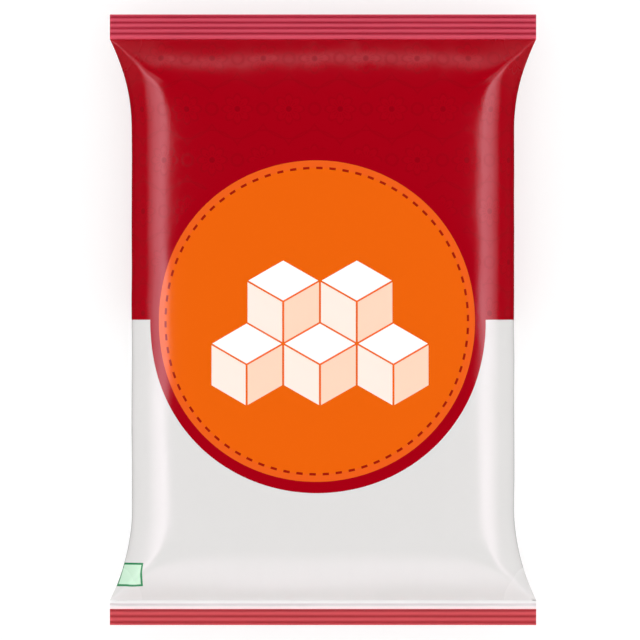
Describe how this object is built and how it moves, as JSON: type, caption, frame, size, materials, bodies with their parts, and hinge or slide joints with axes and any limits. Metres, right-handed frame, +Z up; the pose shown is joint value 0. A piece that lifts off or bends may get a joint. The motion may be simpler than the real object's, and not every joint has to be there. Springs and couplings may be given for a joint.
{
  "type": "sugar packet",
  "caption": "Filled pillow pack of granulated sugar in glossy printed film, lying on its back, with a crimped seal across each end and a fin seam along the back.",
  "frame": {"origin": "on the surface that the pack lies on, under the middle of its bounding box", "axes": "+Z up, out of the printed front; +Y along the pack towards its top end; +X across the pack, to the right for someone reading the front"},
  "size_m": [0.17, 0.2434, 0.0474],
  "materials": {
    "printed_film": "glossy printed film: deep red upper half and end seals, pale grey lower half, orange disc"
  },
  "bodies": {
    "root": {"sugar_packet": "printed_film"}
  },
  "joints": []
}
